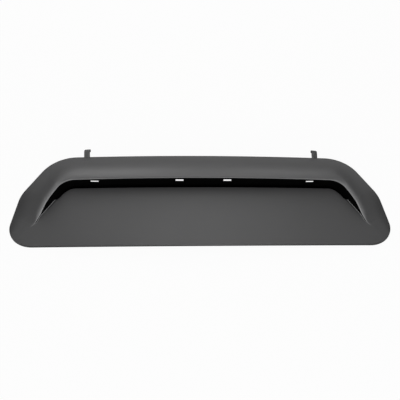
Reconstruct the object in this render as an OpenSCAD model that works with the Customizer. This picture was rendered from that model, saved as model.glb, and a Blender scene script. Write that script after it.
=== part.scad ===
// Bonnet scoop: one moulded shell with an intake mouth, a ramp that leads up
// to it, screw bosses and ribs on its hollow underside, and two rear hooks.
// X runs across the car, Y towards the windscreen and Z up. The shell's foot
// follows the crown of the bonnet that it is fixed to.

/* [Overall] */
// Width of the scoop across the car
scoop_w = 800; // [700:1:900]
// Depth on the centre line, from front edge to rear edge
scoop_d = 250; // [238:1:280]
// Wall thickness of the moulding
wall = 2.5; // [2:0.1:3]
// Fall of the bonnet from the centre line to the scoop's widest point
bonnet_fall = 16; // [0:0.5:24]
// Sweep of the front edge towards the windscreen at the widest point
front_sweep = 10; // [0:0.5:20]
// Sweep of the rear edge towards the windscreen at the widest point
rear_sweep = 3.5; // [0:0.5:12]

/* [Outline] */
// How far the side's line meets the front line outside the widest point
front_flare = 5.4; // [3:0.1:8]
// Corner radius at the front
front_r = 54; // [44:1:60]
// Height of the side's bend above the front line, seen in plan
bend_y = 138; // [125:1:150]
// Inset of the side's bend from the widest point
bend_in = 8; // [4:0.5:14]
// Radius of the side's bend
bend_r = 90; // [60:1:110]
// Inset of the rear corner from the widest point
rear_in = 67; // [60:1:80]
// Corner radius at the rear
rear_r = 81; // [60:1:95]
// Height of the turned-down edge all round
edge_h = 5; // [4.5:0.1:7]
// Rounding of the top of that edge
edge_r = 2.5; // [1.5:0.1:3]

/* [Mouth] */
// Distance of the lip from the front edge
mouth_y = 142; // [136:1:148]
// Width between the mouth's two upper corners
mouth_w = 584; // [560:1:600]
// Width between the mouth's two lower tips
tip_w = 698; // [686:1:708]
// Distance of the lower tips from the front line
tip_y = 51; // [47:1:60]
// Plan radius of the mouth's upper corners
mouth_r = 36; // [20:1:45]
// Height of the lip over the bonnet
lip_h = 51; // [44:0.5:60]
// Extra fall of the lip from the middle to the mouth's corners
lip_fall = 3; // [0:0.5:8]
// How far the lip reaches over the mouth's back wall
lip_reach = 12; // [8:0.5:14]
// Thickness of the lip at its nose
lip_t = 3.5; // [3:0.1:5]
// Undercut of the mouth's side walls below the lip
side_reach = 2.5; // [1:0.1:4]
// Width of the rounded shoulder on the lip along the sides
shoulder_w = 8; // [4:0.5:10]

/* [Ramp] */
// Height of the ramp's rear edge over the bonnet
ramp_h = 19.5; // [16:0.5:24]
// Depth of the gutter behind the ramp
gutter_drop = 15; // [10:0.5:15.5]
// Width of the gutter between the ramp and the back wall
gutter_w = 8.5; // [6:0.5:10]
// Length over which the ramp rounds down into the gutter
ramp_roll = 8; // [5:0.5:10]

/* [Slots] */
// Width of each slot in the back wall
slot_w = 17; // [14:0.5:24]
// Height of the inner slots
slot_in_h = 7; // [5:0.5:10]
// Height of the outer slots
slot_out_h = 5.5; // [5:0.5:10]
// Height of the inner slots' middle over the bonnet
slot_in_z = 26.6; // [22:0.1:29]
// Height of the outer slots' middle over the bonnet
slot_out_z = 25.8; // [22:0.1:29]
// Distance of the inner slots from the centre line
slot_in_x = 51.5; // [40:0.5:62]
// Distance of the outer slots from the centre line
slot_out_x = 232.5; // [220:0.5:240]

/* [Fixings] */
// Spacing of the screw bosses across the car
boss_x = 300; // [280:1:310]
// Spacing of the screw bosses along the car
boss_y = 95; // [90:1:100]
// Distance of the front bosses from the front edge
boss_front_y = 100; // [95:1:105]
// Outer diameter of a boss
boss_d = 9; // [8:0.5:10]
// Pilot bore for a self-tapping screw
pilot_d = 4.2; // [3.5:0.1:4.5]
// Depth of the pilot bores
pilot_depth = 9; // [6:0.5:10]
// Distance of the rear hooks from the centre line
hook_x = 261.5; // [250:0.5:275]
// Length of a hook behind the rear edge
hook_len = 26; // [20:0.5:35]
// Width of a hook's shank
hook_w = 12.5; // [9:0.5:15]
// Thickness of a hook
hook_t = 5; // [4:0.5:6]
// Angle by which the hooks splay outwards from their root
hook_splay = 6; // [0:0.5:8]
// Thickness of the stiffening ribs
rib_t = 2; // [1.5:0.1:2.5]
// Clearance of the ribs over the bonnet
rib_clear = 1.5; // [1:0.1:2]

/* [Hidden] */
plastic = [0.2, 0.2, 0.21];
barb_w = 2;
barb_len = 6;
root_len = 16;
bead_w = 3;
bead_h = 0.8;
slot_cut = 14;
rib_x = [0, 100, 190, 262];
rib_front = 34;
rib_rear = 28;
rib_steps = 8;
lip_round = 3;
nose_max = 4;
cut_over = 1;
hook_sink = 0.6;
bead_root = 0.5;
bead_end = 3;
barb_notch = 1;
cyl_fn = 48;

// Steps of the surface grid, in the order in which the stations run
steps_back = 8;
steps_corner = 6;
steps_side = [4, 4, 4];
steps_tip = [3, 4];
steps_shroud = 7;
steps_ramp = 5;

// Part of the front corner's arc that the last station runs along
corner_from = 0.25;
corner_to = 0.75;
corner_step = 0.013;
// Where the front stations stand, as shares of the mouth's and from the corner
front_share = [0.95, 0.93];
front_gap = 16;
// Where the flank's lower part begins, as a share of the margin over the tip
flank_share = 0.6;
// How the step falls from the mouth's corner, and how it fades at the tip
step_power = 1.9;
step_fade = 1.6;
// Height of the step at which the mouth's section is whole, and above which
// its low ridge stands on a wall of full thickness
step_full = 12;
step_walled = 6;
// Curve of the shroud's fall behind the mouth and along its sides
back_power = 1.8;
side_power = 1.4;
// Stations past the corner's over which the one fall blends into the other
steps_blend = 3;
// Share of the mouth's side along which the gutter runs out
gutter_end = 0.15;
// Rounding inside the turned-down edge, across and down
rim_ease = [0.4, 0.3];
// Plan spacing of the lines that run on where the mouth has ended
flat_step = 0.6;

// Unit vector, right-hand normal, blend and smooth step
function unit(v) = v / norm(v);
function right_of(v) = [v.y, -v.x];
function mix(a, b, t) = a + (b - a) * t;
function clamp01(t) = min(1, max(0, t));
function smooth(t) = let (c = clamp01(t)) c * c * (3 - 2 * c);

// Fillet at corner b of the clockwise path a, b, c: centre, radius, both angles
function fillet(a, b, c, r) =
    let (d1 = unit(b - a), d2 = unit(c - b), turn = acos(d1 * d2))
    let (start = b - d1 * r * tan(turn / 2), n = right_of(d1))
    let (first = atan2(-n.y, -n.x))
    [start + n * r, r, first, first - turn];

// Point on a fillet at a share of its arc, and the inward normal there
function on_arc(f, t) = f[0] + f[1] * [cos(mix(f[2], f[3], t)), sin(mix(f[2], f[3], t))];
function arc_in(f, t) = -[cos(mix(f[2], f[3], t)), sin(mix(f[2], f[3], t))];

// Stations [point, inward normal] along a straight line and along an arc
function line_run(a, b, inward, n) = [for (i = [0 : n - 1]) [mix(a, b, i / n), inward]];
function arc_run(f, t0, t1, n) =
    [for (i = [0 : n - 1]) let (t = mix(t0, t1, i / n)) [on_arc(f, t), arc_in(f, t)]];

// Outline in plan, right half, clockwise from the middle of the rear edge
half_w = scoop_w / 2;
q_rear = [half_w - rear_in, scoop_d];
q_bend = [half_w - bend_in, bend_y];
q_front = [half_w + front_flare, 0];
f_rear = fillet([0, scoop_d], q_rear, q_bend, rear_r);
f_bend = fillet(q_rear, q_bend, q_front, bend_r);
f_front = fillet(q_bend, q_front, [0, 0], front_r);
side_in = right_of(unit(q_bend - q_rear));
flank_in = right_of(unit(q_front - q_bend));
widest_x = f_front[0].x + front_r;

// Mouth in plan: along the lip, round its corner and down its side to the tip
m_corner = [mouth_w / 2, mouth_y];
m_tip = [tip_w / 2, tip_y];
f_mouth = fillet([0, mouth_y], m_corner, m_tip, mouth_r);
mouth_in = right_of(unit(m_tip - m_corner));
arc_mid = (corner_from + corner_to) / 2;
m_end = on_arc(f_front, arc_mid) + edge_r * arc_in(f_front, arc_mid);
m_end_in = right_of(unit(m_end - m_tip));

// Where the flank's lower part and the front edge's outer part begin
flank_y = tip_y + (half_w - tip_w / 2) * flank_share;
flank_top = mix(on_arc(f_bend, 1), on_arc(f_front, 0),
    (on_arc(f_bend, 1).y - flank_y) / (on_arc(f_bend, 1).y - on_arc(f_front, 0).y));
front_stops = [on_arc(f_mouth, 0).x * front_share[0], on_arc(f_mouth, 1).x * front_share[1],
    f_front[0].x - front_gap];

// Three rows of stations: the outline, the mouth and the front edge
side_runs = [norm(on_arc(f_bend, 0) - on_arc(f_rear, 1)),
    f_bend[1] * (f_bend[2] - f_bend[3]) * PI / 180, norm(flank_top - on_arc(f_bend, 1))];
side_len = side_runs[0] + side_runs[1] + side_runs[2];
side_share = [side_runs[0] / side_len, (side_runs[0] + side_runs[1]) / side_len];
side_n = steps_side[0] + steps_side[1] + steps_side[2];

outline = concat(
    line_run([0, scoop_d], on_arc(f_rear, 0), [0, -1], steps_back),
    arc_run(f_rear, 0, 1, steps_corner),
    line_run(on_arc(f_rear, 1), on_arc(f_bend, 0), side_in, steps_side[0]),
    arc_run(f_bend, 0, 1, steps_side[1]),
    line_run(on_arc(f_bend, 1), flank_top, flank_in, steps_side[2]),
    line_run(flank_top, on_arc(f_front, 0), flank_in, steps_tip[0]),
    arc_run(f_front, 0, corner_from, steps_tip[1]),
    [[on_arc(f_front, corner_from), arc_in(f_front, corner_from)]]);

m_side = [on_arc(f_mouth, 1), m_tip];
mouth = concat(
    line_run([0, mouth_y], on_arc(f_mouth, 0), [0, -1], steps_back),
    arc_run(f_mouth, 0, 1, steps_corner),
    line_run(m_side[0], mix(m_side[0], m_side[1], side_share[0]), mouth_in, steps_side[0]),
    line_run(mix(m_side[0], m_side[1], side_share[0]),
        mix(m_side[0], m_side[1], side_share[1]), mouth_in, steps_side[1]),
    line_run(mix(m_side[0], m_side[1], side_share[1]), m_tip, mouth_in, steps_side[2]),
    line_run(m_tip, m_end, m_end_in, steps_tip[0] + steps_tip[1]),
    [[m_end, m_end_in]]);

front = concat(
    line_run([0, 0], [front_stops[0], 0], [0, 1], steps_back),
    line_run([front_stops[0], 0], [front_stops[1], 0], [0, 1], steps_corner),
    line_run([front_stops[1], 0], [front_stops[2], 0], [0, 1], side_n),
    line_run([front_stops[2], 0], on_arc(f_front, 1), [0, 1], steps_tip[0]),
    arc_run(f_front, 1, corner_to, steps_tip[1]),
    [[on_arc(f_front, corner_to), arc_in(f_front, corner_to)]]);

first_side = steps_back + steps_corner;
first_tip = first_side + side_n;
last_open = first_tip + steps_tip[0] + steps_tip[1];
last = last_open + 3;

// Heights over the bonnet: the ramp, the lip and the step between them
function ramp_at(y) = mix(edge_h, ramp_h, (y - edge_r) / (mouth_y - edge_r));
function side_at(i) = clamp01((i - first_side) / side_n);
lip_side_h = lip_h - lip_fall;
function step_at(i) =
    let (y = mouth[i][0].y, x = mouth[i][0].x)
    i <= first_side ? lip_h - lip_fall * min(1, pow(2 * x / mouth_w, 2)) - ramp_at(y)
    : (lip_side_h - ramp_at(m_side[0].y)) * pow(1 - pow(side_at(i), step_power), step_fade);
function lip_at(i) = ramp_at(mouth[i][0].y) + step_at(i);
function ramp_off(i, o) = ramp_at((mouth[i][0] + o * mouth[i][1]).y);
function gutter_at(i) = gutter_drop * (1 - smooth(side_at(i) / gutter_end));
function step_share(i) = smooth(step_at(i) / step_full);
function reach_at(i) = mix(lip_reach, side_reach, smooth((i - steps_back) / steps_corner));
function shoulder_at(i) = mix(lip_round, shoulder_w, smooth((i - steps_back) / steps_corner));
function gutter_w_at(i) = gutter_w * reach_at(i) / lip_reach;

// Fall of the shroud from the lip (t = 0) to the outer edge (t = 1): rounded
// all the way behind the mouth, and rounded near the lip along the sides
function fall_back(t) = 1 - pow(t, back_power);
function fall_side(t) = 1 - pow(t, side_power);
function side_weight(i) = smooth((i - steps_back) / (steps_corner + steps_blend));
function fall(i, t) = mix(fall_back(t), fall_side(t), side_weight(i));
function shroud_at(i, t) = mix(edge_h, lip_at(i), fall(i, clamp01(t)));
function shroud_slope(i, t, len) =
    (shroud_at(i, t - 0.02) - shroud_at(i, t + 0.02)) / (0.04 * len);

// Turned-down edge as [inset, height], from the foot up: outside and inside
rim_out = [[0, 0], [0, edge_h - edge_r], [0.3 * edge_r, edge_h - 0.3 * edge_r], [edge_r, edge_h]];
rim_in = [[wall, 0], [wall, (edge_h - wall) / 2],
    [wall + rim_ease.x, edge_h - wall - rim_ease.y], [wall + edge_r, edge_h - wall]];

// Mouth's section as [offset towards the ramp, height], from the shoulder over
// the nose, along the lip's underside, down the wall and up to the ramp
mouth_n = 10;
function mouth_out(i) =
    let (b = shoulder_at(i), c = min(0.4 * lip_t + 0.25 * b, nose_max), h = lip_at(i), r = reach_at(i))
    let (g = r - gutter_w_at(i), d = gutter_at(i))
    concat(
        [for (a = [0, 45, 90]) [-b + b * sin(a), h - c * (1 - cos(a))]],
        [[-0.45 * lip_t, h - c - 0.5 * lip_t], [-r, h - c - 0.6 * lip_t], [-r, ramp_off(i, -r) - d]],
        [for (a = [0, 30, 60, 90])
            let (o = -g + ramp_roll * (1 - cos(a))) [o, ramp_off(i, o) - d * (1 - sin(a))]]);
function mouth_in_at(i, skin_h) =
    let (r = reach_at(i) + wall, g = reach_at(i) - gutter_w_at(i), d = gutter_at(i))
    concat(
        [for (k = [0 : 4]) [-r - wall * (1 - sin(k * 22.5)), skin_h - wall * (1 - cos(k * 22.5))]],
        [[-r, ramp_off(i, -r) - d - wall]],
        [for (a = [0, 30, 60, 90])
            let (o = -g + wall * cos(a) + ramp_roll * (1 - cos(a)))
            [o, ramp_off(i, o) - d * (1 - sin(a)) - wall]]);
function low_ridge(i, lower) =
    [for (k = [0 : mouth_n - 1])
        let (o = (k - 2) * flat_step - lower * smooth(step_at(i) / step_walled))
        [o, mix(lip_at(i), min(lip_at(i), ramp_off(i, o)), smooth((k - 1) / 4)) - lower]];
function mouth_mix(low, made, t) = [for (k = [0 : mouth_n - 1]) mix(low[k], made[k], t)];

// One section as [x, y, height], from the outer edge over the lip to the front
function rim_pts(st, rim) = [for (e = rim) let (p = st[0] + st[1] * e.x) [p.x, p.y, e.y]];
function offset_pts(st, list) = [for (e = list) let (p = st[0] + st[1] * e.x) [p.x, p.y, e.y]];
function reversed(l) = [for (k = [len(l) - 1 : -1 : 0]) l[k]];

function section_out(i) =
    let (o = rim_pts(outline[i], rim_out), f = reversed(rim_pts(front[i], rim_out)))
    let (m = offset_pts(mouth[i], mouth_mix(low_ridge(i, 0), mouth_out(i), step_share(i))))
    concat(o,
        [for (k = [1 : steps_shroud - 1])
            let (t = k / steps_shroud, p = mix(o[3], m[0], t))
            [p.x, p.y, shroud_at(i, 1 - t)]],
        m,
        [for (k = [1 : steps_ramp - 1]) mix(m[mouth_n - 1], f[0], k / steps_ramp)],
        f);

function section_in(i) =
    let (o = rim_pts(outline[i], rim_in), f = reversed(rim_pts(front[i], rim_in)))
    let (top = rim_pts(outline[i], rim_out)[3], b = shoulder_at(i) * step_share(i))
    let (crest = mouth[i][0] - mouth[i][1] * b, span = norm([top.x, top.y] - crest))
    let (back = reach_at(i) + 2 * wall, share = step_share(i))
    let (t_end = clamp01((back - b) / span) * share)
    let (skin = shroud_at(i, t_end) - wall * sqrt(1 + pow(shroud_slope(i, t_end, span), 2)))
    let (m = offset_pts(mouth[i],
        mouth_mix(low_ridge(i, wall), mouth_in_at(i, skin), share)))
    concat(o,
        [for (k = [1 : steps_shroud - 1])
            let (t = k / steps_shroud, p = mix(o[3], m[0], t))
            let (q = clamp01(1 - norm([p.x - top.x, p.y - top.y]) / span))
            [p.x, p.y, shroud_at(i, q) - wall * sqrt(1 + pow(shroud_slope(i, q, span), 2))]],
        m,
        [for (k = [1 : steps_ramp - 1]) mix(m[mouth_n - 1], f[0], k / steps_ramp)],
        f);

// Number of steps in a section, and its last three stations round the corner
cols = 8 + (steps_shroud - 1) + mouth_n + (steps_ramp - 1) - 1;
function corner_pts(b, rim) =
    let (t0 = corner_from + (3 - b) * corner_step, t1 = corner_to - (3 - b) * corner_step)
    [for (j = [0 : cols])
        let (q = min(max(j - b, 0), cols - 2 * b), e = rim[min(j, b, cols - j)])
        let (t = mix(t0, t1, q / (cols - 2 * b)))
        let (p = on_arc(f_front, t) + arc_in(f_front, t) * e.x)
        [p.x, p.y, e.y]];

// Past the mouth's tip the sections bend over into the corner's arc
function corner_weight(i) = pow(clamp01((i - first_tip) / (last_open - first_tip)), 2);
function blended(section, corner, w) =
    [for (j = [0 : cols]) j < 4 || j > cols - 4 ? section[j] : mix(section[j], corner[j], w)];
function row_out(i) =
    i > last_open ? corner_pts(last - i, rim_out)
    : blended(section_out(i), corner_pts(3, rim_out), corner_weight(i));
function row_in(i) =
    i > last_open ? corner_pts(last - i, rim_in)
    : blended(section_in(i), corner_pts(3, rim_in), corner_weight(i));

// From plan and height over the bonnet to the scoop's own frame
hook_reach = hook_len * cos(hook_splay) + (hook_w / 2 + barb_w) * sin(hook_splay);
origin_y = (scoop_d + sweep_at(hook_x, scoop_d) + hook_reach) / 2;
function sweep_at(x, y) =
    mix(front_sweep, rear_sweep, clamp01(y / scoop_d)) * pow(x / half_w, 2);
function bonnet_z(x) = bonnet_fall * (1 - pow(x / widest_x, 2));
function placed(p) = [p.x, p.y + sweep_at(p.x, p.y) - origin_y, p.z + bonnet_z(p.x)];
function mirrored(row) = [for (p = row) [-p.x, p.y, p.z]];

// Closed skin: outer and inner grid, joined along the foot
module skin() {
    out_half = [for (i = [0 : last]) [for (p = row_out(i)) placed(p)]];
    in_half = [for (i = [0 : last]) [for (p = row_in(i)) placed(p)]];
    rows = 2 * last;
    out_rows = [for (i = [-last : last]) i < 0 ? mirrored(out_half[-i]) : out_half[i]];
    in_rows = [for (i = [-last : last]) i < 0 ? mirrored(in_half[-i]) : in_half[i]];
    points = [for (row = concat(out_rows, in_rows)) for (p = row) p];
    below = (rows + 1) * (cols + 1);
    function at(i, j) = i * (cols + 1) + j;
    function split(a, b, c, d, first) = first ? [[a, b, c], [a, c, d]] : [[a, b, d], [b, c, d]];
    function quad_out(i, j) =
        split(at(i, j), at(i, j + 1), at(i + 1, j + 1), at(i + 1, j), (i < last) == (j < cols / 2));
    edge = concat([for (i = [0 : rows - 1]) at(i, 0)], [for (j = [0 : cols - 1]) at(rows, j)],
        [for (i = [rows : -1 : 1]) at(i, cols)], [for (j = [cols : -1 : 1]) at(0, j)]);
    faces = concat(
        [for (i = [0 : rows - 1]) for (j = [0 : cols - 1]) for (t = quad_out(i, j)) reversed(t)],
        [for (i = [0 : rows - 1]) for (j = [0 : cols - 1]) for (t = quad_out(i, j))
            [t[0] + below, t[1] + below, t[2] + below]],
        [for (k = [0 : len(edge) - 1])
            let (a = edge[k], b = edge[(k + 1) % len(edge)])
            for (t = [[b, a, a + below], [b, a + below, b + below]]) t]);
    polyhedron(points, faces);
}

// Height and slope of the top surface behind the mouth and on the ramp
crest_y = mouth_y + lip_round;
function back_t(y) = (y - crest_y) / (scoop_d - edge_r - crest_y);
function lip_mid(x) = lip_h - lip_fall * pow(2 * x / mouth_w, 2);
function back_h(x, y) = mix(edge_h, lip_mid(x), fall_back(clamp01(back_t(y))));
function top_h(x, y) = y > mouth_y ? back_h(x, y) : ramp_at(y);
function top_slope(x, y) = (top_h(x, y + 1) - top_h(x, y - 1)) / 2;

// Screw boss: from the bonnet up into the middle of the wall, cut to its slope
module boss(x, y) {
    flat_y = y - sweep_at(x, y);
    rise = top_h(x, flat_y) - wall / 2;
    translate([x, y - origin_y, bonnet_z(x)]) {
        difference() {
            cylinder(d = boss_d, h = rise + boss_d / 2, $fn = cyl_fn);
            translate([0, 0, rise]) rotate([atan(top_slope(x, flat_y)), 0, 0])
                translate([-boss_d, -boss_d, 0]) cube([2 * boss_d, 2 * boss_d, boss_d]);
        }
    }
}

module pilot(x, y) {
    translate([x, y - origin_y, bonnet_z(x) - cut_over])
        cylinder(d = pilot_d, h = pilot_depth + cut_over, $fn = cyl_fn);
}

// Rib in the plane of the car's length, from y0 to y1, its top inside the wall
module rib(x, y0, y1) {
    top = [for (k = [0 : rib_steps])
        let (y = mix(y0, y1, k / rib_steps)) [y, top_h(x, y) - wall / 2]];
    outline_pts = concat([[y0, rib_clear]], top, [[y1, rib_clear]]);
    translate([x + rib_t / 2, 0, bonnet_z(x)]) rotate([90, 0, -90])
        linear_extrude(rib_t)
            polygon([for (p = outline_pts) [origin_y - p.x - sweep_at(x, p.x), p.y]]);
}

module ribs() {
    for (s = [-1, 1], x = rib_x)
        if (s > 0 || x > 0) {
            rib(s * x, mouth_y + lip_reach + wall / 2, scoop_d - rib_rear);
            rib(s * x, rib_front, mouth_y - lip_reach + gutter_w - wall);
        }
}

// Hook: a flat shank with a barb on the inside and a chamfer on the outside
module hook() {
    y0 = scoop_d + sweep_at(hook_x, scoop_d) - origin_y;
    h0 = bonnet_z(hook_x) - hook_t * hook_sink;
    tip = hook_len;
    translate([hook_x, y0, h0]) rotate([0, 0, -hook_splay]) linear_extrude(hook_t)
        polygon([[-hook_w / 2, -root_len], [hook_w / 2, -root_len], [hook_w / 2, tip - barb_len],
            [hook_w / 2 - barb_notch, tip - barb_len + 2 * barb_notch], [hook_w / 2, tip - barb_len / 2],
            [hook_w / 4, tip], [-hook_w / 2 - barb_w, tip],
            [-hook_w / 2 - barb_w, tip - barb_len / 2], [-hook_w / 2, tip - barb_len]]);
    translate([hook_x, y0, h0 + hook_t - bead_root]) rotate([0, 0, -hook_splay])
        translate([-bead_w / 2, 0, 0]) cube([bead_w, tip - bead_end, bead_h + bead_root]);
}

module slots() {
    y = mouth_y + lip_reach + wall / 2;
    for (sx = [-1, 1], s = [[slot_in_x, slot_in_z, slot_in_h], [slot_out_x, slot_out_z, slot_out_h]])
        translate([sx * s[0] - slot_w / 2, y + sweep_at(s[0], y) - origin_y - slot_cut / 2,
            bonnet_z(s[0]) + s[1] - s[2] / 2]) cube([slot_w, slot_cut, s[2]]);
}

module scoop_shell() {
    color(plastic) difference() {
        union() {
            skin();
            for (sx = [-1, 1], y = [boss_front_y, boss_front_y + boss_y]) boss(sx * boss_x / 2, y);
            ribs();
            hook();
            mirror([1, 0, 0]) hook();
        }
        slots();
        for (sx = [-1, 1], y = [boss_front_y, boss_front_y + boss_y]) pilot(sx * boss_x / 2, y);
    }
}

scoop_shell();
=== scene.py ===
import math
import bmesh
import bpy
import numpy as np
from mathutils import Matrix, Vector
from mathutils.kdtree import KDTree


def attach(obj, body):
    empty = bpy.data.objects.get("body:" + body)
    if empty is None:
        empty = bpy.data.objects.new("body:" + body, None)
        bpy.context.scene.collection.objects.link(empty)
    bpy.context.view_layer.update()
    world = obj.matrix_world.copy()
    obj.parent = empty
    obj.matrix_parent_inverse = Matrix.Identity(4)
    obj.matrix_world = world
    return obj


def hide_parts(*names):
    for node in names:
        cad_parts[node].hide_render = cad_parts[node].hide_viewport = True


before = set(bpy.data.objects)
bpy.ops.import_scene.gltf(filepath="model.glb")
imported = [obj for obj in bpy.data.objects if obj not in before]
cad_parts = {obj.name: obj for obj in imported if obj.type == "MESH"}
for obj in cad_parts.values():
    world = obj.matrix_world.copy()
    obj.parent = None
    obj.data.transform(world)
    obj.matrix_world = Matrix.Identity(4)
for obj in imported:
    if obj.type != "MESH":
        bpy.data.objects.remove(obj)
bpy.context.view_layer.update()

# Camera. The photograph looks down on the scoop's front from half height, a
# little from its left, with the camera tipped slightly to one side.
PHOTO_PX, LENS_PX, CENTRE_PX = 400, 594.2, (227.02, 201.75)
VIEW_RISE, VIEW_TURN, VIEW_TILT = (math.radians(a) for a in (50.0, -6.27, 4.73))
AIM, VIEW_REACH = np.array((0.05184, -0.00929, 0.0)), 1.3
SENSOR_MM, FAR_CLIP = 36.0, 20.0


def toward(turn, rise):
    """Direction to a place that stands round the scoop and above it."""
    return np.array((math.sin(turn) * math.cos(rise), -math.cos(turn) * math.cos(rise),
                     math.sin(rise)))


back = toward(VIEW_TURN, VIEW_RISE)
level = np.array((math.cos(VIEW_TURN), math.sin(VIEW_TURN), 0.0))
upright = np.cross(back, level)
cam_x = math.cos(VIEW_TILT) * level + math.sin(VIEW_TILT) * upright
cam_y = -math.sin(VIEW_TILT) * level + math.cos(VIEW_TILT) * upright
cam_at = AIM + VIEW_REACH * back
lens = bpy.data.cameras.new("photo_lens")
lens.sensor_fit = "HORIZONTAL"
lens.sensor_width = SENSOR_MM
lens.lens = LENS_PX / PHOTO_PX * SENSOR_MM
lens.shift_x = -(CENTRE_PX[0] - PHOTO_PX / 2) / PHOTO_PX
lens.shift_y = (CENTRE_PX[1] - PHOTO_PX / 2) / PHOTO_PX
lens.clip_end = FAR_CLIP
camera = bpy.data.objects.new("photo_camera", lens)
cam_rows = np.column_stack((cam_x, cam_y, back, cam_at)).tolist()
camera.matrix_world = Matrix((*cam_rows, (0, 0, 0, 1)))
bpy.context.collection.objects.link(camera)
bpy.context.scene.camera = camera

# Shell skin. The real scoop is one injection moulding of even thickness. Its
# skin is drawn as sections that run from the outer edge over the lip, down
# the mouth's wall and along the ramp to the front edge, all in millimetres.
SCOOP_W, SCOOP_D, WALL, MM_PER_M = 800.0, 250.0, 2.5, 1000.0
BONNET_FALL, FRONT_SWEEP, REAR_SWEEP = 16.0, 10.0, 3.5
FRONT_FLARE, FRONT_R, BEND_Y, BEND_IN, BEND_R = 5.4, 54.0, 138.0, 8.0, 90.0
REAR_IN, REAR_R, EDGE_H, EDGE_R = 67.0, 81.0, 5.0, 2.5
MOUTH_Y, MOUTH_W, TIP_W, TIP_Y, MOUTH_R = 142.0, 584.0, 698.0, 51.0, 36.0
LIP_H, LIP_FALL, LIP_REACH, LIP_T = 51.0, 3.0, 12.0, 3.5
SIDE_REACH, SHOULDER_W, LIP_ROUND, NOSE_MAX = 2.5, 8.0, 3.0, 4.0
RAMP_H, GUTTER_DROP, GUTTER_W, RAMP_ROLL = 19.5, 15.0, 8.5, 5.5
# Shares of the lip's thickness and shoulder that shape its nose.
NOSE_THICK, NOSE_SHOULDER, NOSE_BACK, NOSE_UNDER, ROOF_DROP = 0.4, 0.25, 0.45, 0.5, 0.6
# The rear hooks reach furthest back, so they set the middle of the depth.
HOOK_X, HOOK_LEN, HOOK_W, HOOK_T, BARB_W = 261.5, 26.0, 12.5, 5.0, 2.0
HOOK_SPLAY = math.radians(6.0)
# Steps round the outline, then steps across a section.
STEPS_BACK, STEPS_CORNER, STEPS_SIDE, STEPS_TIP = 8, 6, (4, 4, 4), (3, 4)
RIM_STEPS, STEPS_SHROUD, STEPS_RAMP, MOUTH_N = 3, 7, 5, 10
# How the stations share out the corners, and how the section's curves fall.
CORNER_FROM, CORNER_TO, CORNER_STEP = 0.25, 0.75, 0.013
FRONT_SHARE, FRONT_GAP, FLANK_SHARE = (0.95, 0.93), 16.0, 0.6
STEP_POWER, STEP_FADE, STEP_FULL, GUTTER_END = 1.9, 1.6, 12.0, 0.15
BACK_POWER, SIDE_POWER, STEPS_BLEND, FLAT_STEP = 1.8, 1.4, 3, 0.6
TIP_BLEND, RIDGE_STEP, RIDGE_FROM, RIDGE_OVER, SLOPE_STEP = 3.0, 6.0, 1, 4, 0.02
QUARTER = 90


def mix(a, b, t):
    return a + (b - a) * t


def smooth(t):
    c = np.clip(t, 0.0, 1.0)
    return c * c * (3.0 - 2.0 * c)


def spot(x, y):
    return np.array((float(x), float(y)))


def unit(v):
    return v / np.hypot(v[0], v[1])


def right_of(v):
    return np.array((v[1], -v[0]))


def fillet(a, b, c, r):
    """Arc of radius r that rounds corner b: its centre, radius and ends."""
    d1, d2 = unit(b - a), unit(c - b)
    turn = math.acos(float(d1 @ d2))
    n = right_of(d1)
    first = math.atan2(-n[1], -n[0])
    return b - d1 * r * math.tan(turn / 2) + n * r, r, first, first - turn


def arc_in(arc, t):
    a = mix(arc[2], arc[3], t)
    return -np.array((math.cos(a), math.sin(a)))


def on_arc(arc, t):
    return arc[0] - arc[1] * arc_in(arc, t)


def line_run(a, b, inward, n):
    return n, lambda t: (mix(a, b, t), inward)


def arc_run(arc, t0, t1, n):
    return n, lambda t: (on_arc(arc, mix(t0, t1, t)), arc_in(arc, mix(t0, t1, t)))


def station(runs, u):
    """Point and inward direction at step u of a chain of runs."""
    for n, run in runs:
        if u < n:
            return run(u / n)
        u -= n
    return run(1.0)


half_w = SCOOP_W / 2
rear_corner = spot(half_w - REAR_IN, SCOOP_D)
bend_corner = spot(half_w - BEND_IN, BEND_Y)
front_corner = spot(half_w + FRONT_FLARE, 0)
rear_arc = fillet(spot(0, SCOOP_D), rear_corner, bend_corner, REAR_R)
bend_arc = fillet(rear_corner, bend_corner, front_corner, BEND_R)
front_arc = fillet(bend_corner, front_corner, spot(0, 0), FRONT_R)
side_in = right_of(unit(bend_corner - rear_corner))
flank_in = right_of(unit(front_corner - bend_corner))
widest_x = front_arc[0][0] + FRONT_R
mouth_corner, mouth_tip = spot(MOUTH_W / 2, MOUTH_Y), spot(TIP_W / 2, TIP_Y)
mouth_arc = fillet(spot(0, MOUTH_Y), mouth_corner, mouth_tip, MOUTH_R)
mouth_in = right_of(unit(mouth_tip - mouth_corner))
corner_mid = (CORNER_FROM + CORNER_TO) / 2
ridge_end = on_arc(front_arc, corner_mid) + EDGE_R * arc_in(front_arc, corner_mid)
ridge_in = right_of(unit(ridge_end - mouth_tip))
flank_y = TIP_Y + (half_w - TIP_W / 2) * FLANK_SHARE
bend_end, front_start = on_arc(bend_arc, 1), on_arc(front_arc, 0)
flank_top = mix(bend_end, front_start, (bend_end[1] - flank_y) / (bend_end[1] - front_start[1]))
front_stops = (on_arc(mouth_arc, 0)[0] * FRONT_SHARE[0],
               on_arc(mouth_arc, 1)[0] * FRONT_SHARE[1], front_arc[0][0] - FRONT_GAP)
side_runs = (np.hypot(*(on_arc(bend_arc, 0) - on_arc(rear_arc, 1))),
             bend_arc[1] * (bend_arc[2] - bend_arc[3]), np.hypot(*(flank_top - bend_end)))
side_share = (side_runs[0] / sum(side_runs), (side_runs[0] + side_runs[1]) / sum(side_runs))
side_n = sum(STEPS_SIDE)
side_top = on_arc(mouth_arc, 1)
side_mid = [mix(side_top, mouth_tip, s) for s in side_share]
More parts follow.
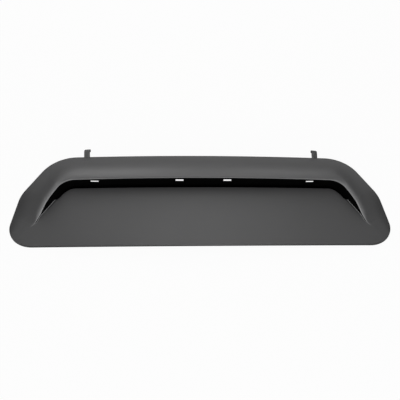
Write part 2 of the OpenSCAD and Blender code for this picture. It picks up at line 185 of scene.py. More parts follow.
outline_runs = (
    line_run(spot(0, SCOOP_D), on_arc(rear_arc, 0), spot(0, -1), STEPS_BACK),
    arc_run(rear_arc, 0, 1, STEPS_CORNER),
    line_run(on_arc(rear_arc, 1), on_arc(bend_arc, 0), side_in, STEPS_SIDE[0]),
    arc_run(bend_arc, 0, 1, STEPS_SIDE[1]),
    line_run(bend_end, flank_top, flank_in, STEPS_SIDE[2]),
    line_run(flank_top, front_start, flank_in, STEPS_TIP[0]),
    arc_run(front_arc, 0, CORNER_FROM, STEPS_TIP[1]))
mouth_runs = (
    line_run(spot(0, MOUTH_Y), on_arc(mouth_arc, 0), spot(0, -1), STEPS_BACK),
    arc_run(mouth_arc, 0, 1, STEPS_CORNER),
    line_run(side_top, side_mid[0], mouth_in, STEPS_SIDE[0]),
    line_run(side_mid[0], side_mid[1], mouth_in, STEPS_SIDE[1]),
    line_run(side_mid[1], mouth_tip, mouth_in, STEPS_SIDE[2]),
    line_run(mouth_tip, ridge_end, ridge_in, sum(STEPS_TIP)))
front_runs = (
    line_run(spot(0, 0), spot(front_stops[0], 0), spot(0, 1), STEPS_BACK),
    line_run(spot(front_stops[0], 0), spot(front_stops[1], 0), spot(0, 1), STEPS_CORNER),
    line_run(spot(front_stops[1], 0), spot(front_stops[2], 0), spot(0, 1), side_n),
    line_run(spot(front_stops[2], 0), on_arc(front_arc, 1), spot(0, 1), STEPS_TIP[0]),
    arc_run(front_arc, 1, CORNER_TO, STEPS_TIP[1]))
first_side = STEPS_BACK + STEPS_CORNER
first_tip = first_side + side_n
last_open = first_tip + sum(STEPS_TIP)
last = last_open + RIM_STEPS
cols = 2 * (RIM_STEPS + 1) + (STEPS_SHROUD - 1) + MOUTH_N + (STEPS_RAMP - 1) - 1
m_first = RIM_STEPS + STEPS_SHROUD
m_last = m_first + MOUTH_N - 1


def ramp_at(y):
    return mix(EDGE_H, RAMP_H, (y - EDGE_R) / (MOUTH_Y - EDGE_R))


class Section:
    """Heights and widths of the skin at station u, seen from the bonnet."""

    def __init__(self, u):
        self.edge, self.edge_in = station(outline_runs, u)
        self.m, self.m_in = station(mouth_runs, u)
        turn = smooth((u - first_tip + TIP_BLEND / 2) / TIP_BLEND)
        if 0.0 < turn < 1.0:
            self.m_in = unit(mix(mouth_in, ridge_in, turn))
        self.front, self.front_in = station(front_runs, u)
        self.along = min(1.0, u / STEPS_BACK)
        side = min(1.0, max(0.0, (u - first_side) / side_n))
        ramp = ramp_at(self.m[1])
        if u <= first_side:
            fall = min(1.0, (2 * self.m[0] / MOUTH_W) ** 2)
            self.step = LIP_H - LIP_FALL * fall - ramp
        else:
            top = LIP_H - LIP_FALL - ramp_at(side_top[1])
            self.step = top * (1 - side ** STEP_POWER) ** STEP_FADE
        self.lip = ramp + self.step
        self.share = float(smooth(self.step / STEP_FULL))
        round_off = float(smooth((u - STEPS_BACK) / STEPS_CORNER))
        self.reach = mix(LIP_REACH, SIDE_REACH, round_off)
        self.shoulder = mix(LIP_ROUND, SHOULDER_W, round_off)
        self.gutter_w = GUTTER_W * self.reach / LIP_REACH
        self.gutter = GUTTER_DROP * (1 - float(smooth(side / GUTTER_END)))
        self.side_weight = float(smooth((u - STEPS_BACK) / (STEPS_CORNER + STEPS_BLEND)))
        self.corner = min(1.0, max(0.0, (u - first_tip) / (last_open - first_tip))) ** 2

    def shroud(self, t):
        t = np.clip(t, 0.0, 1.0)
        back_fall = 1 - t ** BACK_POWER
        side_fall = 1 - t ** SIDE_POWER
        return mix(EDGE_H, self.lip, mix(back_fall, side_fall, self.side_weight))

    def slope(self, t, length):
        ahead, behind = self.shroud(t - SLOPE_STEP), self.shroud(t + SLOPE_STEP)
        return (ahead - behind) / (2 * SLOPE_STEP * length)

    def ramp(self, o):
        return ramp_at(self.m[1] + o * self.m_in[1])

    def low_ridge(self, k, lower):
        """Offset and height where the wall has sunk to a plain ridge."""
        o = (k - 2) * FLAT_STEP - lower * float(smooth(self.step / RIDGE_STEP))
        drop = float(smooth((k - RIDGE_FROM) / RIDGE_OVER))
        return o, mix(self.lip, min(self.lip, self.ramp(o)), drop) - lower

    def nose(self, k):
        """Offset and height of the lip, roof, wall, gutter and ramp's end."""
        b, r, d = self.shoulder, self.reach, self.gutter
        c = min(NOSE_THICK * LIP_T + NOSE_SHOULDER * b, NOSE_MAX)
        g = r - self.gutter_w
        low = self.lip - c
        if k <= 2:
            a = math.radians(QUARTER / 2 * k)
            return -b + b * math.sin(a), self.lip - c * (1 - math.cos(a))
        if k <= 3:
            a = math.radians(QUARTER * (k - 2))
            return -NOSE_BACK * LIP_T * (1 - math.cos(a)), low - NOSE_UNDER * LIP_T * math.sin(a)
        roof = (-r, low - ROOF_DROP * LIP_T)
        foot = (-r, self.ramp(-r) - d)
        if k <= 4:
            return (mix(-NOSE_BACK * LIP_T, -r, k - 3),
                    low - mix(NOSE_UNDER, ROOF_DROP, k - 3) * LIP_T)
        if k <= 5:
            return (-r, mix(roof[1], foot[1], k - 4))
        if k <= 6:
            return (mix(-r, -g, k - 5), self.ramp(mix(-r, -g, k - 5)) - d)
        a = math.radians(QUARTER / 3 * (k - 6))
        o = -g + RAMP_ROLL * (1 - math.cos(a))
        return o, self.ramp(o) - d * (1 - math.sin(a))

    def nose_in(self, k, skin):
        """The same on the hidden side, one wall's thickness in."""
        r, d = self.reach + WALL, self.gutter
        g = self.reach - self.gutter_w
        if k <= 4:
            a = math.radians(QUARTER / 4 * k)
            return -r - WALL * (1 - math.sin(a)), skin - WALL * (1 - math.cos(a))
        if k <= 5:
            return -r, mix(skin - WALL, self.ramp(-r) - d - WALL, k - 4)
        if k <= 6:
            o = mix(-r, -g + WALL, k - 5)
            return o, mix(self.ramp(-r) - d - WALL, self.ramp(-g + WALL) - d - WALL, k - 5)
        a = math.radians(QUARTER / 3 * (k - 6))
        o = -g + WALL * math.cos(a) + RAMP_ROLL * (1 - math.cos(a))
        return o, self.ramp(o) - d * (1 - math.sin(a)) - WALL


def rim_out(b):
    """Inset and height of the turned-down edge, b steps in from its foot."""
    if b <= 1:
        return 0.0, b * (EDGE_H - EDGE_R)
    a = math.radians(QUARTER / 2 * (b - 1))
    return EDGE_R * (1 - math.cos(a)), EDGE_H - EDGE_R * (1 - math.sin(a))


INNER_EASE = (0.4, 0.3)
RIM_IN = ((WALL, 0.0), (WALL, (EDGE_H - WALL) / 2),
          (WALL + INNER_EASE[0], EDGE_H - WALL - INNER_EASE[1]), (WALL + EDGE_R, EDGE_H - WALL))


def rim_in(b):
    i = min(RIM_STEPS - 1, int(b))
    return tuple(mix(RIM_IN[i][n], RIM_IN[i + 1][n], b - i) for n in (0, 1))


def on_offset(point, inward, offset, height):
    return np.array((*(point + inward * offset), height))


def corner_point(b, j, rim):
    """Point j of the nested arcs that close the front corner, b steps in."""
    t0 = CORNER_FROM + (RIM_STEPS - b) * CORNER_STEP
    t1 = CORNER_TO - (RIM_STEPS - b) * CORNER_STEP
    t = mix(t0, t1, min(max(j - b, 0.0), cols - 2 * b) / (cols - 2 * b))
    inset, height = rim(max(0.0, min(j, b, cols - j)))
    return on_offset(on_arc(front_arc, t), arc_in(front_arc, t), inset, height)


def skin_row(u, steps, inner):
    """One section of the skin, from the outer edge to the front edge."""
    rim = rim_in if inner else rim_out
    if u > last_open:
        return [corner_point(last - u, j, rim) for j in steps]
    s = Section(u)
    crest = s.m - s.m_in * s.shoulder * s.share
    top = s.edge + s.edge_in * EDGE_R
    span = np.hypot(*(top - crest))
    shoulder = s.shoulder * s.share
    t_end = min(1.0, max(0.0, (s.reach + 2 * WALL - shoulder) / span)) * s.share
    skin = float(s.shroud(t_end)) - WALL * math.sqrt(1 + float(s.slope(t_end, span)) ** 2)

    def mouth(k):
        flat = s.low_ridge(k, WALL if inner else 0.0)
        made = s.nose_in(k, skin) if inner else s.nose(k)
        o, h = (mix(flat[n], made[n], s.share) for n in (0, 1))
        return on_offset(s.m, s.m_in, o, h)

    rear_rim = on_offset(s.edge, s.edge_in, *rim(RIM_STEPS))
    front_rim = on_offset(s.front, s.front_in, *rim(RIM_STEPS))
    m_start, m_stop = mouth(0), mouth(MOUTH_N - 1)
    row = []
    for j in steps:
        if j <= RIM_STEPS:
            row.append(on_offset(s.edge, s.edge_in, *rim(j)))
            continue
        if j >= cols - RIM_STEPS:
            row.append(on_offset(s.front, s.front_in, *rim(cols - j)))
            continue
        if j < m_first:
            t = (j - RIM_STEPS) / STEPS_SHROUD
            p = mix(rear_rim, m_start, t)
            if inner:
                q = min(1.0, max(0.0, 1 - np.hypot(*(p[:2] - top)) / span))
                p[2] = s.shroud(q) - WALL * math.sqrt(1 + float(s.slope(q, span)) ** 2)
            else:
                p[2] = s.shroud(1 - t)
        elif j <= m_last:
            p = mouth(j - m_first)
        else:
            p = mix(m_stop, front_rim, (j - m_last) / STEPS_RAMP)
        row.append(mix(p, corner_point(RIM_STEPS, j, rim), s.corner))
    return row


def sweep_at(x, y):
    """How far a place lies back, because the edges bow with the bonnet."""
    return mix(FRONT_SWEEP, REAR_SWEEP, np.clip(y / SCOOP_D, 0, 1)) * (x / half_w) ** 2


def bonnet_z(x):
    """Height of the crowned bonnet under a place."""
    return BONNET_FALL * (1 - (x / widest_x) ** 2)


hook_reach = HOOK_LEN * math.cos(HOOK_SPLAY) + (HOOK_W / 2 + BARB_W) * math.sin(HOOK_SPLAY)
origin_y = (SCOOP_D + sweep_at(HOOK_X, SCOOP_D) + hook_reach) / 2


def spread(runs):
    """Stops over runs of n steps each, every run cut into its own parts."""
    stops = [0.0]
    for n, parts in runs:
        stops += [stops[-1] + n * (k + 1) / parts for k in range(parts)]
    return stops


u_steps = spread(((STEPS_BACK, 40), (STEPS_CORNER, 30), (side_n, 54), (STEPS_TIP[0], 9),
                  (STEPS_TIP[1], 12), (RIM_STEPS, 10)))
j_steps = spread(((1, 1), (2, 6), (STEPS_SHROUD, 28), (2, 10), (1, 5), (1, 3), (1, 8), (1, 3),
                  (3, 9), (STEPS_RAMP, 14), (2, 6), (1, 1)))


def skin_grid(inner):
    half = np.array([skin_row(u, j_steps, inner) for u in u_steps])
    x, y = half[..., 0], half[..., 1]
    half = np.stack((x, y + sweep_at(x, y) - origin_y, half[..., 2] + bonnet_z(x)), axis=-1)
    mirrored = half[:0:-1] * np.array((-1.0, 1.0, 1.0))
    return np.concatenate((mirrored, half)) / MM_PER_M


def skin_mesh(name):
    """Closed skin: outer and inner grid, joined by the foot's narrow strip."""
    outer, inner = skin_grid(False), skin_grid(True)
    rows, width = outer.shape[:2]
    below = rows * width
    points = np.concatenate((outer.reshape(-1, 3), inner.reshape(-1, 3)))
    a = (np.arange(rows - 1)[:, None] * width + np.arange(width - 1)).ravel()
    quads = np.stack((a, a + 1, a + width + 1, a + width), axis=1)
    edge = np.concatenate((np.arange(rows) * width, (rows - 1) * width + np.arange(1, width),
                           np.arange(rows - 2, -1, -1) * width + width - 1,
                           np.arange(width - 2, 0, -1)))
    ahead = np.roll(edge, -1)
    strip = np.stack((edge, ahead, ahead + below, edge + below), axis=1)
    faces = np.concatenate((quads, quads[:, ::-1] + below, strip))
    mesh = bpy.data.meshes.new(name)
    mesh.from_pydata(points.tolist(), [], faces.tolist())
    mesh.update()
    return mesh


shell = bpy.data.objects.new("moulded_shell", skin_mesh("moulded_shell"))
bpy.context.collection.objects.link(shell)

# Ribs. Thin webs under the ramp and behind the mouth's wall stiffen the wide
# skin. They are moulded with it and stop just short of the bonnet.
RIB_X, RIB_T, RIB_CLEAR, RIB_FRONT, RIB_REAR = (0.0, 100.0, 190.0, 262.0), 2.0, 1.5, 34.0, 28.0
RIB_STEPS, RIB_END_LIFT = 25, 0.3


def solid(name, rings):
    """Closed prism or tube from rings of points in millimetres, ends filled."""
    bm = bmesh.new()
    loops = [[bm.verts.new(Vector(p) / MM_PER_M) for p in ring] for ring in rings]
    for a, b in zip(loops, loops[1:]):
        for k in range(len(a)):
            bm.faces.new((a[k - 1], a[k], b[k], b[k - 1]))
    bm.faces.new(loops[0])
    bm.faces.new(loops[-1][::-1])
    bmesh.ops.recalc_face_normals(bm, faces=bm.faces)
    mesh = bpy.data.meshes.new(name)
    bm.to_mesh(mesh)
    bm.free()
    return mesh


def fuse(meshes, operation):
    """Add meshes to the shell, or cut them out of it."""
    bm = bmesh.new()
    for mesh in meshes:
        bm.from_mesh(mesh)
        bpy.data.meshes.remove(mesh)
    tool_mesh = bpy.data.meshes.new("tool")
    bm.to_mesh(tool_mesh)
    bm.free()
    tool = bpy.data.objects.new("tool", tool_mesh)
    bpy.context.collection.objects.link(tool)
    mod = shell.modifiers.new("fuse", "BOOLEAN")
    mod.object = tool
    mod.operation = operation
    mod.solver = "MANIFOLD"
    made = bpy.data.meshes.new_from_object(
        shell.evaluated_get(bpy.context.evaluated_depsgraph_get()))
    shell.modifiers.remove(mod)
    plain = shell.data
    shell.data = made
    bpy.data.meshes.remove(plain)
    bpy.data.objects.remove(tool)
    bpy.data.meshes.remove(tool_mesh)


def top_height(x, y):
    """Height of the skin over a place, on the ramp or on the shroud."""
    if y <= MOUTH_Y:
        return ramp_at(y)
    crest = MOUTH_Y + LIP_ROUND
    t = min(1.0, max(0.0, (y - crest) / (SCOOP_D - EDGE_R - crest)))
    return mix(EDGE_H, LIP_H - LIP_FALL * (2 * x / MOUTH_W) ** 2, 1 - t ** BACK_POWER)


def seated(x, y, height):
    return x, y + sweep_at(x, y) - origin_y, height + bonnet_z(x)


def rib(x, y0, y1):
    steps = np.linspace(y0, y1, RIB_STEPS)
    side = [(y, top_height(x, y) - WALL / 2) for y in steps]
    side += [(y, RIB_CLEAR + RIB_END_LIFT * (k in (0, RIB_STEPS - 1)))
             for k, y in enumerate(steps[::-1])]
    rings = []
    for dx in (-RIB_T / 2, RIB_T / 2):
        rings.append([(x + dx, seated(x, y, 0)[1], h + bonnet_z(x)) for y, h in side])
    return solid("rib", rings)


ribs = []
for rib_x in sorted({s * x for x in RIB_X for s in (-1, 1)}):
    ribs.append(rib(rib_x, MOUTH_Y + LIP_REACH + WALL / 2, SCOOP_D - RIB_REAR))
    ribs.append(rib(rib_x, RIB_FRONT, MOUTH_Y - LIP_REACH + GUTTER_W - WALL))
fuse(ribs, "UNION")

# Screw bosses. Four round posts under the skin take self-tapping screws that
# come up through the bonnet. Each is moulded on, with a blind pilot bore.
BOSS_X, BOSS_Y, BOSS_D, PILOT_D, PILOT_DEPTH = 300.0, (100.0, 195.0), 9.0, 4.2, 9.0
BOSS_EASE, PILOT_EASE, CUT_PAST, SLOPE_BY, ROUND = 0.4, 0.5, 1.0, 1, 64


def ring(x, y, z, r, slope=0.0):
    turns = np.linspace(0, 2 * math.pi, ROUND, endpoint=False)
    return [(x + r * math.cos(a), y + r * math.sin(a), z + slope * r * math.sin(a))
            for a in turns]


bosses, pilots = [], []
for boss_x in (-BOSS_X / 2, BOSS_X / 2):
    for boss_y in BOSS_Y:
        flat_y = boss_y - sweep_at(boss_x, boss_y)
        foot, rise = bonnet_z(boss_x), top_height(boss_x, flat_y) - WALL / 2
        slope = (top_height(boss_x, flat_y + SLOPE_BY)
                 - top_height(boss_x, flat_y - SLOPE_BY)) / (2 * SLOPE_BY)
        at = (boss_x, boss_y - origin_y)
        bosses.append(solid("boss", [ring(*at, foot, BOSS_D / 2 - BOSS_EASE),
                                     ring(*at, foot + BOSS_EASE, BOSS_D / 2),
                                     ring(*at, foot + rise, BOSS_D / 2, slope)]))
        pilots.append(solid("pilot", [ring(*at, foot - CUT_PAST, PILOT_D / 2 + PILOT_EASE),
                                      ring(*at, foot, PILOT_D / 2 + PILOT_EASE),
                                      ring(*at, foot + PILOT_EASE, PILOT_D / 2),
                                      ring(*at, foot + PILOT_DEPTH, PILOT_D / 2)]))
fuse(bosses, "UNION")
fuse(pilots, "DIFFERENCE")

# Rear hooks. Two flat tongues with a barb on the inside slide into slots in
# the bonnet. They are moulded with the edge, and a bead stiffens each one.
BARB_LEN, ROOT_LEN, NOTCH_IN, NOTCH_LEN, HOOK_SUNK = 6.0, 16.0, 1, 2, 0.6
BEAD_W, BEAD_H, BEAD_SHORT, BEAD_ROUND = 3.0, 0.8, 3, ((0.0, 0.4), (0.2, 0.8), (0.7, 1.0))
EDGE_EASE, EASE_MID = 0.5, 0.15
hook_y = SCOOP_D + sweep_at(HOOK_X, SCOOP_D) - origin_y
hook_z = bonnet_z(HOOK_X) - HOOK_T * HOOK_SUNK
hook_top, barb_y = hook_z + HOOK_T, HOOK_LEN - BARB_LEN
hook_plan = ((-HOOK_W / 2, -ROOT_LEN), (HOOK_W / 2, -ROOT_LEN), (HOOK_W / 2, barb_y),
             (HOOK_W / 2 - NOTCH_IN, barb_y + NOTCH_LEN), (HOOK_W / 2, HOOK_LEN - BARB_LEN / 2),
             (HOOK_W / 4, HOOK_LEN), (-HOOK_W / 2 - BARB_W, HOOK_LEN),
             (-HOOK_W / 2 - BARB_W, HOOK_LEN - BARB_LEN / 2), (-HOOK_W / 2, barb_y))
bead_plan = ((-BEAD_W / 2, 0), (BEAD_W / 2, 0),
             (BEAD_W / 2, HOOK_LEN - BEAD_SHORT), (-BEAD_W / 2, HOOK_LEN - BEAD_SHORT))
hook_levels = ((EDGE_EASE, hook_z), (EASE_MID, hook_z + EASE_MID), (0.0, hook_z + EDGE_EASE),
               (0.0, hook_top - EDGE_EASE), (EASE_MID, hook_top - EASE_MID),
               (EDGE_EASE, hook_top))
bead_levels = ((0.0, hook_top - EDGE_EASE),
               *((inset, hook_top + BEAD_H * share) for inset, share in BEAD_ROUND))


def inset_plan(plan, inset):
    corners = [np.array(p, float) for p in plan]
    made = []
    for k, p in enumerate(corners):
        d1, d2 = unit(p - corners[k - 1]), unit(corners[(k + 1) % len(corners)] - p)
        n1, n2 = -right_of(d1), -right_of(d2)
        made.append(p + inset * (n1 + n2) / (1 + float(n1 @ n2)))
    return made


def hook_part(name, plan, side, levels):
    """A plan drawn at each level with its inset, splayed and put in place."""
    rings = []
    splay_x, splay_y = math.cos(HOOK_SPLAY), math.sin(HOOK_SPLAY)
    for inset, z in levels:
        rings.append([(side * (HOOK_X + p[0] * splay_x + p[1] * splay_y),
                       hook_y - p[0] * splay_y + p[1] * splay_x, z)
                      for p in inset_plan(plan, inset)])
    return solid(name, rings)


for side in (-1, 1):
    fuse([hook_part("hook", hook_plan, side, hook_levels)], "UNION")
    fuse([hook_part("bead", bead_plan, side, bead_levels)], "UNION")

# Slots. Four openings through the mouth's back wall let air out, and light
# shows through them. They are square to the wall, with crisp edges.
SLOTS, SLOT_W, SLOT_CUT = ((51.5, 26.6, 7.0), (232.5, 25.8, 5.5)), 17.0, 14.0
slots = []
for slot_x, slot_z, slot_h in [(s * x, z, h) for x, z, h in SLOTS for s in (-1, 1)]:
    slot_y = MOUTH_Y + LIP_REACH + WALL / 2
    cx, cy, cz = seated(slot_x, slot_y, slot_z)
    rings = []
    for y in (cy - SLOT_CUT / 2, cy + SLOT_CUT / 2):
        rings.append([(cx + sx * SLOT_W / 2, y, cz + sz * slot_h / 2)
                      for sx, sz in ((-1, -1), (1, -1), (1, 1), (-1, 1))])
    slots.append(solid("slot", rings))
fuse(slots, "DIFFERENCE")

# Painted light and shade. Painted shade makes the mouth's inside far darker
# than the skin, and the turned-down edge, the shroud's foot next to it, the
# hooks, ribs and bosses a little darker; painted highlights make the lip's crest
# and a thin line along the side wall's foot lighter. Each point takes the
# nearest skin point's mark.
AWAY_SHADE, DEEP_MARK, MARK_END = (0.5, 0.0, 0.0), 0.9, 1.2
SKIN_NEAR, SLOT_NEAR, SLOT_SPREAD, CREASE = 0.0012, 0.004, 0.5, math.radians(35)
# Each pair is a step of the mouth's section and how far the mark reaches.
DARK_AT, SHADE_AT, CREST_BACK_AT, CREST_AT, BEAD_AT = (
    (2.4, 0.5), (7.2, 1.4), (-0.8, 2.8), (1.8, 1.0), (5.5, 0.8))
# Millimetres of gutter or of wall over which a mark comes or goes.
DARK_DROP, DARK_STEP, SHADE_FROM, SHADE_OVER = (13.0, 22.0), 3.0, 18, 8
BEAD_STEP, BEAD_GUTTER = 2.0, 12
SHADE, CREST_BACK, LIP_LIGHT = 0.6, 0.55, (0.25, 0.6)
# Painted shade along the turned-down edge and the shroud's foot next to it.
REAR_RIM_SHADE, REAR_RIM_FROM, REAR_RIM_OVER, FRONT_RIM_SHADE, FRONT_RIM_OVER = 0.4, 7.5, 5, 0.5, 2.6


def hump(k, at, over):
    return smooth(1 - abs(k - at) / over)


def mouth_marks(s, k):
    """How much painted shade a point of the mouth takes, and how much painted
    highlight on its lip's crest and in the line along the side wall's foot."""
    side = min(1.0, max(0.0, (s.reach - LIP_REACH) / (SIDE_REACH - LIP_REACH)))
    light = max(side, mix(*LIP_LIGHT, s.along ** 2))
    drop = s.gutter * (1 - math.sin(math.radians(QUARTER / 3 * max(0.0, k - 6))))
    depth = 1.0 if k <= 5 else drop / mix(*DARK_DROP, side)
    under = smooth((k - DARK_AT[0]) / DARK_AT[1])
    # Painted shade deep in the mouth.
    inside = under * smooth(depth) * smooth(s.step / DARK_STEP)
    # Painted shadow on the ramp beside the side wall's foot.
    shade = SHADE * hump(k, *SHADE_AT) * side * smooth((s.step - SHADE_FROM) / SHADE_OVER)
    # Painted highlight on the lip's crest, with a fainter glow leading up to it.
    behind = CREST_BACK * smooth((k - CREST_BACK_AT[0]) / CREST_BACK_AT[1]) * (k < CREST_AT[0])
    crest = max(behind, hump(k, *CREST_AT)) * light
    # Painted highlight in a thin line along the side wall's foot; no bead is modelled there.
    bead = hump(k, *BEAD_AT) * side * smooth(s.step / BEAD_STEP)
    return np.array((max(inside, shade), crest, bead * (1 - smooth(s.gutter / BEAD_GUTTER))))


def marks_row(u):
    s = Section(min(u, last_open))
    ease = float(smooth((first_tip + MARK_END - u) / MARK_END))
    row = []
    for j in j_steps:
        if m_first - 1 < j <= m_last:
            row.append(mouth_marks(s, j - m_first) * ease)
        else:
            row.append(np.array((max(
                REAR_RIM_SHADE * smooth((REAR_RIM_FROM - j) / REAR_RIM_OVER),
                FRONT_RIM_SHADE * smooth(FRONT_RIM_OVER - (cols - j))), 0.0, 0.0)))
    return row


half_marks = np.array([marks_row(u) for u in u_steps])
marks = np.concatenate((half_marks[:0:-1], half_marks)).reshape(-1, 3)
grid_points = skin_grid(False).reshape(-1, 3)
nearest_skin = KDTree(len(grid_points))
for k, p in enumerate(grid_points):
    nearest_skin.insert(p, k)
nearest_skin.balance()


def mark_at(point):
    k, far = nearest_skin.find(point)[1:]
    by_slot = any(abs(abs(point.x) * MM_PER_M - slot[0]) < SLOT_W / 2 + SLOT_SPREAD
                  for slot in SLOTS)
    if far < SKIN_NEAR or (by_slot and marks[k][0] > DEEP_MARK and far < SLOT_NEAR):
        return marks[k]
    return AWAY_SHADE


point_marks = np.array([mark_at(v.co) for v in shell.data.vertices])
for n, name in enumerate(("inside", "crest", "bead")):
    mark = shell.data.attributes.new(name, "FLOAT", "POINT")
    mark.data.foreach_set("value", point_marks[:, n].tolist())
shell.data.polygons.foreach_set("use_smooth", [True] * len(shell.data.polygons))
shell.data.set_sharp_from_angle(angle=CREASE)

# Moulded black plastic. The whole scoop is one matt polypropylene in charcoal
# grey, with the fine spark-eroded grain of its tool and a soft sheen.
GRAIN_SCALE, GRAIN_DETAIL, GRAIN_BREAK = 1400.0, 2.0, 0.6
GRAIN_BUMP, GRAIN_DEPTH, ROUGHNESS, CLOUD_SCALE = 0.12, 0.0002, (0.35, 0.45), 9.0
PLASTIC_IOR, SKIN_GLOSS = 1.49, 0.3
DARK_SKIN, PALE_SKIN = (0.076, 0.076, 0.077, 1), (0.084, 0.084, 0.085, 1)
# Tones of the painted highlights on the lip's crest and along the side wall's foot, and of the
# painted shade in the mouth.
CREST_HIGHLIGHT_TONE, FOOT_HIGHLIGHT_TONE = (0.28, 0.28, 0.283, 1), (0.4, 0.4, 0.404, 1)
SHADE_TONE = (0.001, 0.001, 0.001, 1)


def node(tree, kind, **inputs):
    """Add a node or a node group, and set or link its inputs."""
    group = kind if isinstance(kind, bpy.types.NodeTree) else None
    made = tree.nodes.new("ShaderNodeGroup" if group else kind)
    if group:
        made.node_tree = group
    for name, value in inputs.items():
        socket = made.inputs[name.replace("_", " ")]
        if isinstance(value, bpy.types.NodeSocket):
            tree.links.new(value, socket)
        else:
            socket.default_value = value
    return made


tool_grain = bpy.data.node_groups.new("tool_grain", "ShaderNodeTree")
for way, kind, name in (
        ("INPUT", "Vector", "Place"), ("INPUT", "Float", "Grain Scale"),
        ("INPUT", "Float", "Cloud Scale"), ("INPUT", "Float", "Smoothest"),
        ("INPUT", "Float", "Roughest"), ("OUTPUT", "Float", "Cloud"),
        ("OUTPUT", "Float", "Roughness"), ("OUTPUT", "Float", "Height")):
    tool_grain.interface.new_socket(name, in_out=way, socket_type="NodeSocket" + kind)
given = tool_grain.nodes.new("NodeGroupInput").outputs
fine = node(tool_grain, "ShaderNodeTexNoise", Vector=given["Place"],
            Scale=given["Grain Scale"], Detail=GRAIN_DETAIL, Roughness=GRAIN_BREAK)
broad = node(tool_grain, "ShaderNodeTexNoise", Vector=given["Place"],
             Scale=given["Cloud Scale"], Detail=GRAIN_DETAIL)
rough = node(tool_grain, "ShaderNodeMapRange", Value=fine.outputs["Fac"],
             To_Min=given["Smoothest"], To_Max=given["Roughest"])
node(tool_grain, "NodeGroupOutput", Cloud=broad.outputs["Fac"],
     Roughness=rough.outputs["Result"], Height=fine.outputs["Fac"])


def blend(tree, factor, a, b):
    """Colour that goes from a to b with the factor."""
    made = node(tree, "ShaderNodeMix")
    made.data_type = "RGBA"
    for n, value in ((0, factor), (6, a), (7, b)):
        if isinstance(value, bpy.types.NodeSocket):
            tree.links.new(value, made.inputs[n])
        else:
            made.inputs[n].default_value = value
    return made.outputs[2]


def moulded_plastic(name, gloss, dark, pale, painted):
    """Grained plastic between two tones, with painted shade and painted highlights laid over
    them by the marks.
    """
    made = bpy.data.materials.new(name)
    made.use_nodes = True
    tree = made.node_tree
    tree.nodes.clear()
    grain = node(tree, tool_grain, Place=node(tree, "ShaderNodeTexCoord").outputs["Object"],
                 Grain_Scale=GRAIN_SCALE, Cloud_Scale=CLOUD_SCALE,
                 Smoothest=ROUGHNESS[0], Roughest=ROUGHNESS[1])
    paint = blend(tree, grain.outputs["Cloud"], dark, pale)
    for mark_name, tone in painted:
        shown = node(tree, "ShaderNodeAttribute")
        shown.attribute_name = mark_name
        paint = blend(tree, shown.outputs["Fac"], paint, tone)
    bump = node(tree, "ShaderNodeBump", Height=grain.outputs["Height"],
                Strength=GRAIN_BUMP, Distance=GRAIN_DEPTH)
    surface = node(tree, "ShaderNodeBsdfPrincipled", Base_Color=paint, IOR=PLASTIC_IOR,
                   Roughness=grain.outputs["Roughness"], Normal=bump.outputs["Normal"],
                   Specular_IOR_Level=gloss)
    node(tree, "ShaderNodeOutputMaterial", Surface=surface.outputs["BSDF"])
    return made


shell.data.materials.clear()
shell.data.materials.append(moulded_plastic(
    "charcoal_plastic", SKIN_GLOSS, DARK_SKIN, PALE_SKIN,
    (("crest", CREST_HIGHLIGHT_TONE), ("bead", FOOT_HIGHLIGHT_TONE), ("inside", SHADE_TONE))))

# Mouth shade. Faces deep in the mouth get a second, near-black material with
# almost no gloss: painted shade that stands in for the shadow there, so the
# opening reads as a black line.
MOUTH_GLOSS, DEEP_SHADE_TONE = 0.04, (0.0015, 0.0015, 0.0015, 1)
shell.data.materials.append(moulded_plastic(
    "mouth_painted_shade", MOUTH_GLOSS, SHADE_TONE, DEEP_SHADE_TONE, ()))
deep = point_marks[:, 0] > DEEP_MARK
shell.data.polygons.foreach_set("material_index", [
    int(all(deep[v] for v in face.vertices)) for face in shell.data.polygons])
shell.data.update()
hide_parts("scoop_shell")
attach(shell, "root")

# Floor. A pale sheet that the scoop stands on, with the soft shadow that it
# throws. It is white to the camera, and pale in what the plastic reflects.
FLOOR_HALF, SHEET_TONE, SHEET_GLOW, SHEET_SHOWN = 6.0, 0.35, 1.04, 0.92
BACKDROP_RAYS = (("Is Transmission Ray", 1.0), ("Is Glossy Ray", 0.15))


def backdrop_seen(tree):
    """Share of a ray that sees the white backdrop."""
    path = node(tree, "ShaderNodeLightPath")
    seen = path.outputs["Is Camera Ray"]
    for ray, share in BACKDROP_RAYS:
        added = node(tree, "ShaderNodeMath")
        added.operation = "MULTIPLY_ADD"
        added.use_clamp = True
        added.inputs[1].default_value = share
        tree.links.new(path.outputs[ray], added.inputs[0])
        tree.links.new(seen, added.inputs[2])
        seen = added.outputs[0]
    return seen


def mixed(tree, factor, a, b):
    made = node(tree, "ShaderNodeMixShader")
    for n, value in enumerate((factor, a.outputs[0], b.outputs[0])):
        tree.links.new(value, made.inputs[n])
    return made.outputs[0]


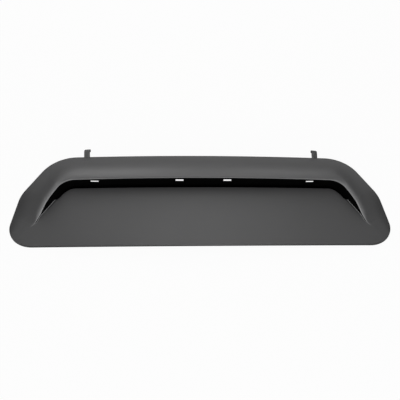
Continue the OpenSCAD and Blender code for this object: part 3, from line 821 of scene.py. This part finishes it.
floor_mesh = bpy.data.meshes.new("floor")
floor_mesh.from_pydata([(x * FLOOR_HALF, y * FLOOR_HALF, 0) for x, y in
                        ((-1, -1), (1, -1), (1, 1), (-1, 1))], [], [(0, 1, 2, 3)])
floor = bpy.data.objects.new("floor", floor_mesh)
bpy.context.collection.objects.link(floor)
sheet = bpy.data.materials.new("white_sheet")
sheet.use_nodes = True
tree = sheet.node_tree
tree.nodes.clear()
matt = node(tree, "ShaderNodeBsdfDiffuse", Color=(SHEET_TONE, SHEET_TONE, SHEET_TONE, 1))
glow = node(tree, "ShaderNodeEmission", Color=(1, 1, 1, 1), Strength=SHEET_GLOW)
amount = node(tree, "ShaderNodeMath")
amount.operation = "MULTIPLY"
amount.inputs[1].default_value = SHEET_SHOWN
tree.links.new(backdrop_seen(tree), amount.inputs[0])
node(tree, "ShaderNodeOutputMaterial", Surface=mixed(tree, amount.outputs[0], matt, glow))
floor_mesh.materials.append(sheet)

# Lamps. Nine soft boxes of one size stand round the scoop: one low in front,
# one at its left, one overhead, and six behind that light the shroud's fall.
# The room is white to the camera and gives hardly any light itself.
ROOM_LIGHT, BACKDROP_WHITE, BOX_SIZE, BOX_REACH = 0.025, 1.0, 0.9, 2.5
world = bpy.data.worlds.new("room")
bpy.context.scene.world = world
world.use_nodes = True
tree = world.node_tree
tree.nodes.clear()
room = node(tree, "ShaderNodeBackground", Color=(1, 1, 1, 1), Strength=ROOM_LIGHT)
backdrop = node(tree, "ShaderNodeBackground", Color=(1, 1, 1, 1), Strength=BACKDROP_WHITE)
node(tree, "ShaderNodeOutputWorld", Surface=mixed(tree, backdrop_seen(tree), room, backdrop))


def softbox(name, turn, rise, power):
    at = BOX_REACH * toward(math.radians(turn), math.radians(rise))
    lamp = bpy.data.lights.new(name, "AREA")
    lamp.shape = "SQUARE"
    lamp.size = BOX_SIZE
    lamp.energy = power
    made = bpy.data.objects.new(name, lamp)
    made.location = at
    made.rotation_euler = Vector(at).to_track_quat("Z", "Y").to_euler()
    bpy.context.collection.objects.link(made)


for name, turn, rise, power in (
        ("front_box", 2, 22, 47.5), ("left_box", 315, 45, 3.6), ("top_box", 0, 89, 5.0),
        ("rear_low", 180, 15, 1.4), ("rear_high", 180, 70, 5.4),
        ("rear_left_low", 197, 30, 13.0), ("rear_left_high", 195, 50, 6.0),
        ("rear_right_low", 163, 30, 8.0), ("rear_right_high", 165, 50, 4.4)):
    softbox(name, turn, rise, power)
bpy.context.scene.view_settings.view_transform = "Standard"
